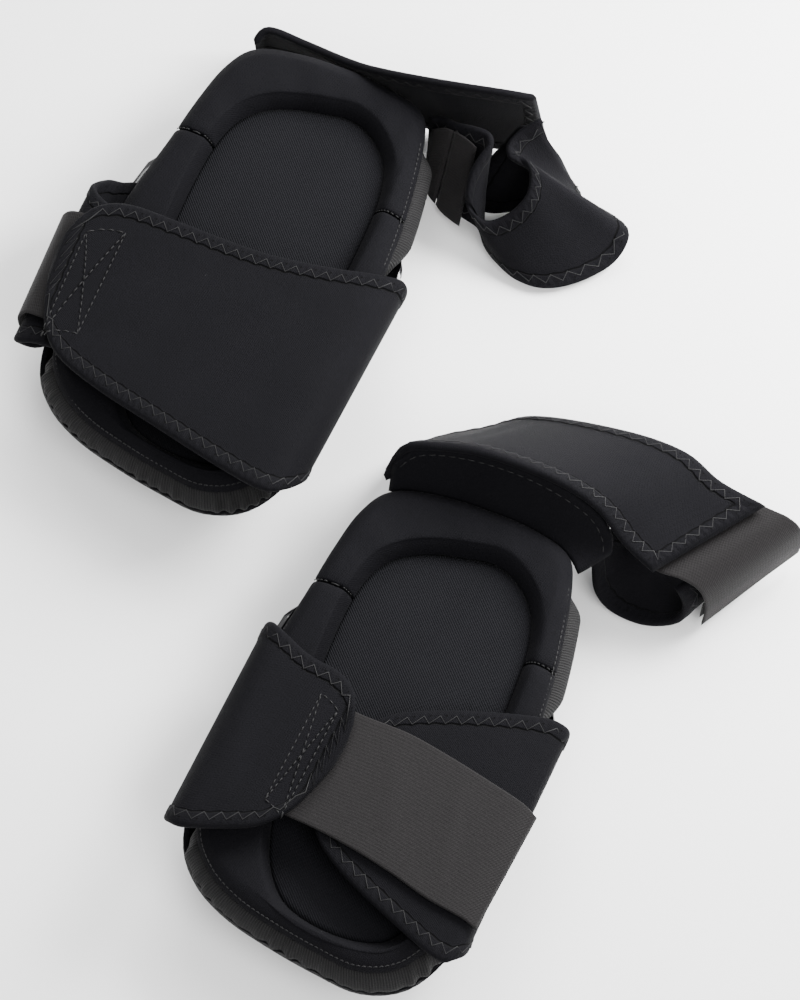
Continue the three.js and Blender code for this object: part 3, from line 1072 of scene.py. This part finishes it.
leftStraps = {
    "lower_tongue": [
        ((83, 9, 43), (81, -116, 43)), ((90.5, 12, 40), (88, -120, 40)),
        ((97.5, 14, 50), (95, -125, 50)), ((95.5, 15, 62), (91, -139, 62)),
        ((82, 9, 69.3), (80, -148, 69.3)), ((50, 0, 69.8), (48, -145, 69.8)),
        ((10, -7, 69.5), (8, -138, 69.5)), ((-40, -9, 69), (-36, -130, 69)),
        ((-72, -11, 69), (-66, -121, 69)), ((-89, -19, 69), (-82, -108, 69)),
        ((-97.5, -34, 69), (-91, -91, 69)), ((-101, -55, 69), (-97, -74, 69)),
    ],
    "lower_catch": [
        ((-83, 16, 43), (-84, -106, 43)), ((-91, 14, 40), (-92, -110, 40)),
        ((-99, 8, 48), (-99, -114, 48)), ((-101.5, -3, 57), (-96, -117, 57.5)),
        ((-88, -12, 60.3), (-82, -114, 60.3)), ((-56, -15, 60.3), (-52, -112, 60.3)),
        ((-20, -18, 60.3), (-15, -106, 60.3)), ((14, -24, 60.3), (16, -94, 60.3)),
        ((26, -38, 60.3), (28, -78, 60.3)),
    ],
    "lower_band": [
        ((-40, -22, 65), (-34, -98, 65)), ((-70, -24, 65), (-64, -99, 65)),
        ((-96, -26, 65), (-90, -100, 65)), ((-105, -27, 63), (-99, -100, 63)),
        ((-110, -28, 56), (-104, -101, 56)), ((-111, -28, 47), (-105, -101, 47)),
        ((-110, -28, 38), (-104, -101, 38)),
    ],
    "lower_hook_patch": [((-108.6, -33, 50), (-103.2, -96, 50)), ((-107.9, -33, 41), (-102.4, -96, 41))],
    "upper_tongue": [
        ((60, 131, 46), (64, 120, 12)), ((68, 133, 50), (72, 114, 8)),
        ((80, 129, 58), (80, 102, 5)), ((92, 128, 64), (92, 98, 5)), ((102, 127, 66), (102, 96, 5)),
        ((106, 121, 65), (111, 94, 5)), ((103, 112, 61), (116, 90, 5)),
        ((101, 101, 53), (122, 84, 4)), ((104, 91, 41), (132, 78, 4)),
        ((117, 88, 31), (149, 72, 4)), ((129, 96, 35), (166, 74, 4)),
        ((136, 108, 45), (183, 87, 4)), ((133, 119, 53), (197, 107, 6)),
        ((125, 123, 58), (199, 124, 14)), ((118, 122, 58), (186, 131, 12)),
        ((114, 128, 59), (172, 133, 6)), ((118, 138, 63), (162, 137, 5)),
        ((127, 147, 69), (153, 142, 5)), ((126, 146, 66), (134, 122, 4)),
        ((123, 145, 63), (113, 107, 4)), ((115, 143, 58), (88, 106, 4)),
    ],
    "upper_band": [
        ((80.4, 124, 55.8), (80.4, 97.2, 5.5)), ((88, 122, 58), (88, 93, 5.5)),
        ((98, 118.5, 58), (100, 89.5, 5.5)),
    ],
    "upper_band_root": [
        ((64, 126, 42), (66, 108, 10)), ((73, 125.5, 52), (73, 101.5, 6.5)),
        ((80, 124.2, 55.7), (80, 97.4, 5.5)),
    ],
    "upper_catch": [
        ((-60, 133, 44), (-62, 140, 20)), ((-55, 143, 50), (-59, 152, 8)),
        ((-30, 145, 47), (-30, 159, 5)), ((0, 142, 53), (0, 154, 5)), ((25, 139, 65), (26, 149, 5)),
        ((66, 141, 79), (70, 144, 5)), ((103, 148, 84), (104, 152, 5)),
        ((121, 154, 81), (128, 162, 6)),
    ],
}

rightStraps = {
    "lower_tongue": [
        ((-82, 15, 43), (-84, -106, 43)), ((-89, 17, 40), (-90, -110, 40)),
        ((-88, 18, 50), (-93, -115, 50)), ((-85, 18, 62), (-91, -119, 62)),
        ((-76, 13, 69), (-81, -121, 69)), ((-56, 5, 69), (-60, -113, 69)),
        ((-36, 2, 69), (-42, -104, 69)), ((-23, -6, 69), (-28, -88, 69)),
        ((-16, -22, 69), (-20, -68, 69)), ((-14, -38, 69), (-15, -52, 69)),
    ],
    "lower_catch": [
        ((83, 20, 43), (81, -112, 43)), ((91, 22, 40), (89, -116, 40)),
        ((97.5, 25, 48), (94, -121, 48)), ((96, 26, 57.5), (92, -130, 57.5)),
        ((83, 25, 60.3), (83, -135, 60.3)), ((50, 15, 60.3), (50, -124, 60.3)),
        ((16, 1, 60.3), (12, -108, 60.3)), ((-4, -13, 60.3), (-10, -92, 60.3)),
        ((-10, -32, 60.3), (-15, -74, 60.3)),
    ],
    "lower_band": [
        ((-46, -14, 65), (-48, -88, 65)), ((-30, -15, 65), (-31, -90, 65)),
        ((-11, -16, 65), (-11, -91, 65)), ((16, -16, 65), (14, -94, 65)),
        ((44, -20, 65), (40, -99, 65)), ((70, -25, 65), (64, -105, 65)),
        ((93, -30, 64.7), (87, -108, 64.7)), ((103, -34, 61), (97, -110, 61)),
    ],
    "lower_hook_patch": [((66, -29, 63.3), (60, -100, 63.3)), ((86, -34, 63.3), (80, -102, 63.3))],
    "upper_tongue": [
        ((-62, 132, 50), (-66, 152, 20)), ((-60, 140, 62), (-64, 170, 10)),
        ((-55, 146, 74), (-48, 188, 8)), ((-40, 150, 81), (-24, 203, 12)),
        ((-10, 156, 84), (2, 217, 22)), ((33, 157, 82), (56, 221, 40)),
        ((62, 155, 70), (95, 219, 48)), ((84, 146, 56), (122, 208, 52)),
        ((106, 138, 52), (152, 203, 54)),
    ],
    "upper_band": [
        ((86, 148, 47.6), (124, 207, 47.6)), ((107, 142, 47), (154, 205, 48)),
        ((123, 143, 46), (166, 205, 46)), ((135, 143, 38), (174, 205, 38)),
        ((140, 140, 24), (177, 204, 24)), ((140, 136, 7), (176, 202, 8)),
    ],
    "upper_hook_patch": [((137.6, 143, 24), (172.5, 200, 24)), ((137.6, 139, 11), (171.8, 198, 12))],
    "upper_catch": [
        ((60, 130, 42), (60, 142, 38)), ((68, 138, 34), (70, 164, 30)),
        ((75, 128, 17), (88, 174, 16)), ((87, 124, 6), (110, 180, 7)),
        ((108, 124, 5), (133, 186, 5)), ((124, 130, 10), (151, 193, 10)),
        ((128, 136, 24), (159, 199, 24)), ((120, 140, 37), (152, 200, 38)),
    ],
}

# where each wing leaves its pad and each band leaves its wing: two bodies, then from and to
bends = {
    "left_lower_tongue": ("left_pad", "left_lower_tongue_wing", (90, -60, 41), (90, -60, 58)),
    "left_lower_catch": ("left_pad", "left_lower_catch_wing", (-90, -60, 41), (-90, -60, 56)),
    "left_lower_band": (
        "left_lower_tongue_wing", "left_lower_elastic", (-99, -60, 65), (-106, -60, 60),
    ),
    "left_upper_tongue": ("left_pad", "left_upper_tongue_wing", (64, 128, 36), (84, 128, 36)),
    "left_upper_catch": ("left_pad", "left_upper_catch_wing", (-60, 146, 40), (-34, 146, 40)),
    "right_lower_tongue": ("right_pad", "right_lower_tongue_wing", (-88, -60, 41), (-88, -60, 58)),
    "right_lower_catch": ("right_pad", "right_lower_catch_wing", (90, -60, 41), (90, -60, 56)),
    "right_lower_band": (
        "right_lower_tongue_wing", "right_lower_elastic", (-17, -53, 65), (-7, -53, 65),
    ),
    "right_upper_tongue": ("right_pad", "right_upper_tongue_wing", (-66, 160, 40), (-44, 160, 40)),
    "right_upper_catch": ("right_pad", "right_upper_catch_wing", (62, 150, 34), (84, 150, 34)),
    "right_upper_band": (
        "right_upper_tongue_wing", "right_upper_elastic", (127, 177, 47), (137, 169, 47),
    ),
}


def follow(piece, side, name):
    # threads follow their strap exactly; a piece listed in bends is baked in place, any other rides its
    # body
    key = f"{side}_{name}"
    if key in bends:
        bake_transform(piece)
    else:
        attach(piece, bodyOf[key])


bodies = frame["record"]["behaviour"]["bodies"]
bodyOf = {node: body for body, nodes in bodies.items() for node in nodes}


def tipBox(ribbon, inset, depth, margin):
    # a stitched box with a cross in it, near the tip of a strap
    end = ribbon.length - inset
    start, far = end - depth, ribbon.width(end - depth) - margin
    corners = [(start, margin), (end, margin), (end, far), (start, far)]
    return [*corners, corners[0]], [corners[0], corners[2]], [corners[1], corners[3]]


def flatSize(ribbon):
    # the greatest width and the length in metres, and the area
    widths = [ribbon.width(ribbon.length * i / 20) for i in range(21)]
    flat = (max(widths) * mm, ribbon.length * mm)
    return flat, min(sum(widths) / len(widths) * ribbon.length * mm * mm, flat[0] * flat[1])


straps = {"left": leftStraps, "right": rightStraps}


def sewStrap(side, name, values, hemmed=True, box=None):
    key = f"{side}_{name}"
    piece, ribbon = makeStrap(side, f"{name}_cloth", straps[side][name], values)
    nodes = [node for node in (key, f"{key}_root") if node in frame["nodes"]]
    follow(piece, side, name)
    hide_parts(*nodes)
    lines = [zigzagLine(ribbon, values)] if hemmed else []
    for route in tipBox(ribbon, *box) if box else ():
        lines += dashes(ribbon, values, route)
    if lines:
        threads = threadPiece(f"{key}_stitching", side, lines)
        follow(threads, side, name)
    flat, area = flatSize(ribbon)
    print(f"{key}: {flat[0]:.3f} x {flat[1]:.3f} m")


def sewPatch(side, name):
    piece, _ = makeStrap(side, f"{name}_tape", straps[side][name], patch, step=1.5)
    follow(piece, side, name)
    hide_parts(f"{side}_{name}")
    return piece


sewStrap("left", "lower_tongue", turnedWing, box=(13, 22, 20))
sewStrap("left", "lower_catch", catchWing)
leftPatch = sewPatch("left", "lower_hook_patch")
sewStrap("left", "lower_band", band, hemmed=False)
# the elastic stays sewn to the wing up to the line where it peels away
rootBand, _ = makeStrap("left", "upper_band_root_cloth", leftStraps["upper_band_root"], band)
follow(rootBand, "left", "upper_tongue")
sewStrap("left", "upper_tongue", curledWing)
sewStrap("left", "upper_band", band, hemmed=False)
sewStrap("left", "upper_catch", catchWing)
print("left straps made")

sewStrap("right", "lower_tongue", wing, box=(14, 14, 18))
sewStrap("right", "lower_catch", turnedCatchWing)
rightPatch = sewPatch("right", "lower_hook_patch")
sewStrap("right", "lower_band", band, hemmed=False)
sewStrap("right", "upper_tongue", turnedWing)
cornerPatch = sewPatch("right", "upper_hook_patch")
sewStrap("right", "upper_band", band, hemmed=False)
sewStrap("right", "upper_catch", catchWing)
print("right straps made")


collar = {
    **wing,
    "thickness": 5,
    "hem": False,
    "creases": 2,
    "crown": 1.5,
    "stitchIn": 6.5,
    "stitchSteps": 24,
    "stitchFromEnd": 4,
}
collarStations = [
    ((-59, 129, 44), (-60, 138, 62)), ((-45, 133.5, 44), (-47, 151, 75)),
    ((-15, 138, 44), (-14, 159, 79)), ((18, 139, 44), (26, 161, 77)),
    ((42, 137, 44), (60, 159, 64)), ((56, 131, 44), (75, 151, 54)), ((65, 123, 44), (79, 141, 48)),
]


def makeTopBand(side):
    piece, ribbon = makeStrap(side, "top_band_collar", collarStations, collar)
    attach(piece, f"{side}_pad")
    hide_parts(f"{side}_top_band")
    steps, margin = collar["stitchSteps"], collar["stitchFromEnd"]
    route = []
    for i in range(steps + 1):
        s = margin + (ribbon.length - 2 * margin) * i / steps
        route.append((s, ribbon.width(s) - collar["stitchIn"]))
    lines = dashes(ribbon, {**collar, "face": -1}, route)
    threads = threadPiece(f"{side}_top_band_stitching", side, lines)
    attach(threads, f"{side}_pad")
    flat, area = flatSize(ribbon)


makeTopBand("right")
print("top band made")
